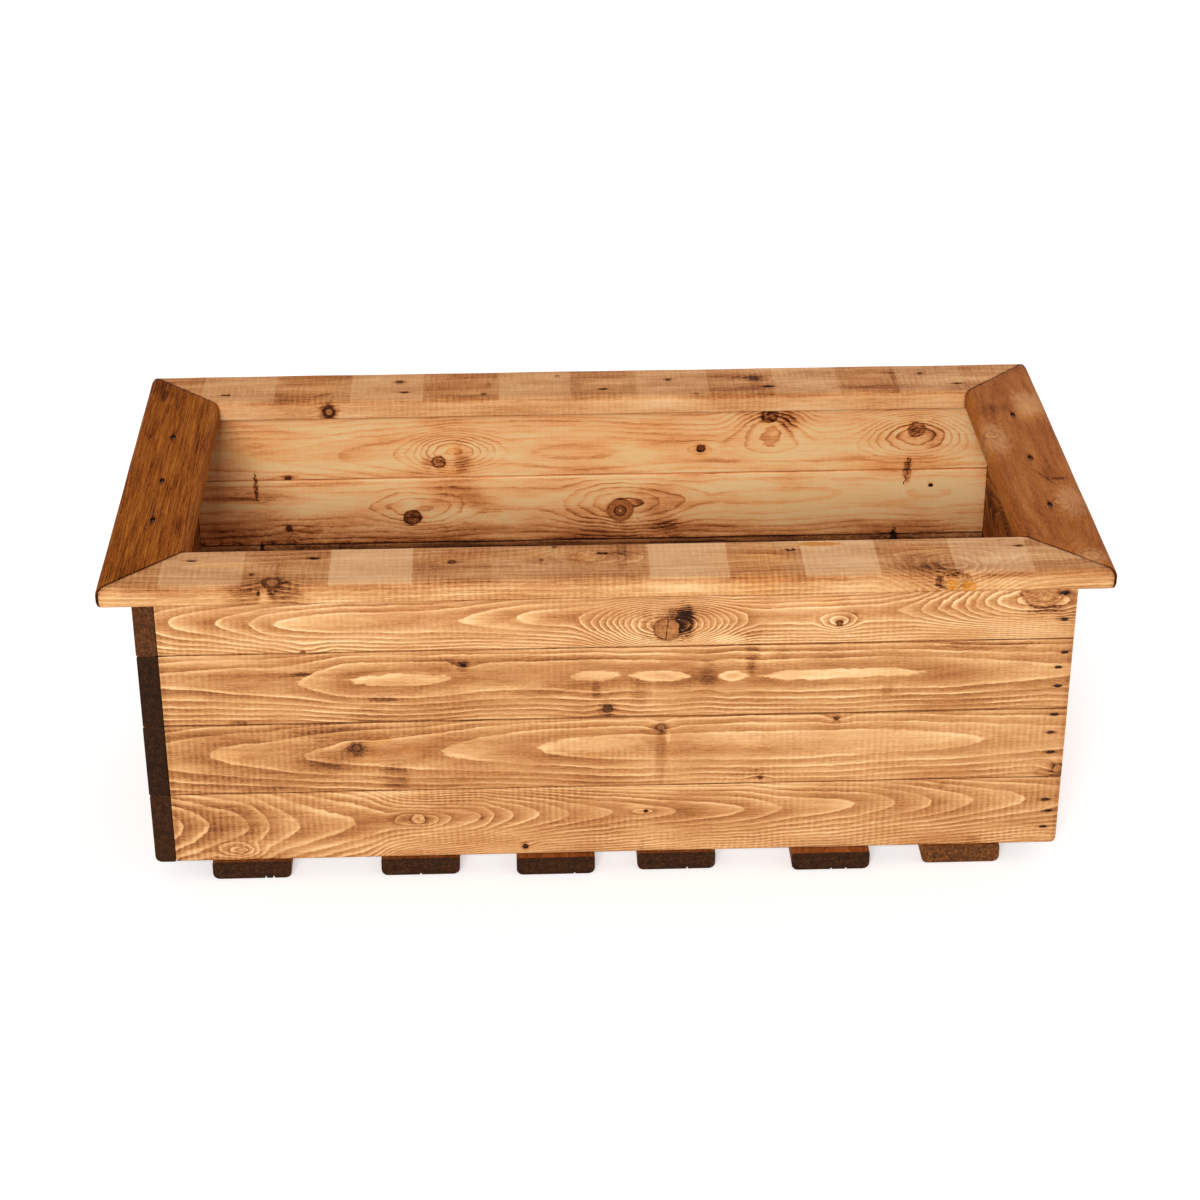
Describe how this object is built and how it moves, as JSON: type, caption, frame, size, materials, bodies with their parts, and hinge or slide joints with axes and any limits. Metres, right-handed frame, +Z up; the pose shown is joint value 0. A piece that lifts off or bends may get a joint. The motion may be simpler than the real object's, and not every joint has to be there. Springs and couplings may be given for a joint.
{
  "type": "window box planter",
  "caption": "Rectangular softwood window box with stacked board walls, a mitred overhanging rim and a base of spaced slats.",
  "frame": {"origin": "middle of the rim's plan rectangle, at the height of the undersides of the base slats", "axes": "+X along the length, to the right as seen from the front; +Y to the back; +Z up"},
  "size_m": [0.853, 0.443, 0.3137],
  "materials": {
    "long_wall_boards": "planed softwood, light oak stain, satin",
    "end_wall_boards": "planed softwood, oak stain, satin",
    "rim_boards": "planed softwood, oak stain, satin",
    "base_slats": "rough softwood, dark stain, matt",
    "nails": "dull steel",
    "corrugated_fasteners": "dull steel"
  },
  "bodies": {
    "root": {"front_course_1": "long_wall_boards", "front_course_2": "long_wall_boards", "front_course_3": "long_wall_boards", "front_course_4": "long_wall_boards", "back_course_1": "long_wall_boards", "back_course_2": "long_wall_boards", "back_course_3": "long_wall_boards", "back_course_4": "long_wall_boards", "left_end_course_1": "end_wall_boards", "left_end_course_2": "end_wall_boards", "left_end_course_3": "end_wall_boards", "left_end_course_4": "end_wall_boards", "right_end_course_1": "end_wall_boards", "right_end_course_2": "end_wall_boards", "right_end_course_3": "end_wall_boards", "right_end_course_4": "end_wall_boards", "rim_front": "rim_boards", "rim_back": "rim_boards", "rim_left": "rim_boards", "rim_right": "rim_boards", "base_slat_1": "base_slats", "base_slat_2": "base_slats", "base_slat_3": "base_slats", "base_slat_4": "base_slats", "base_slat_5": "base_slats", "base_slat_6": "base_slats", "corner_nail_1": "nails", "corner_nail_2": "nails", "corner_nail_3": "nails", "corner_nail_4": "nails", "corner_nail_5": "nails", "corner_nail_6": "nails", "corner_nail_7": "nails", "corner_nail_8": "nails", "corner_nail_9": "nails", "corner_nail_10": "nails", "corner_nail_11": "nails", "rim_left_nail_1": "nails", "rim_left_nail_2": "nails", "rim_left_nail_3": "nails", "rim_right_nail_1": "nails", "rim_right_nail_2": "nails", "rim_right_nail_3": "nails", "front_corrugated_fastener_1": "corrugated_fasteners", "front_corrugated_fastener_2": "corrugated_fasteners", "front_corrugated_fastener_3": "corrugated_fasteners", "front_corrugated_fastener_4": "corrugated_fasteners", "front_corrugated_fastener_5": "corrugated_fasteners", "front_corrugated_fastener_6": "corrugated_fasteners", "back_corrugated_fastener_1": "corrugated_fasteners", "back_corrugated_fastener_2": "corrugated_fasteners", "back_corrugated_fastener_3": "corrugated_fasteners", "back_corrugated_fastener_4": "corrugated_fasteners", "back_corrugated_fastener_5": "corrugated_fasteners", "back_corrugated_fastener_6": "corrugated_fasteners"}
  },
  "joints": []
}
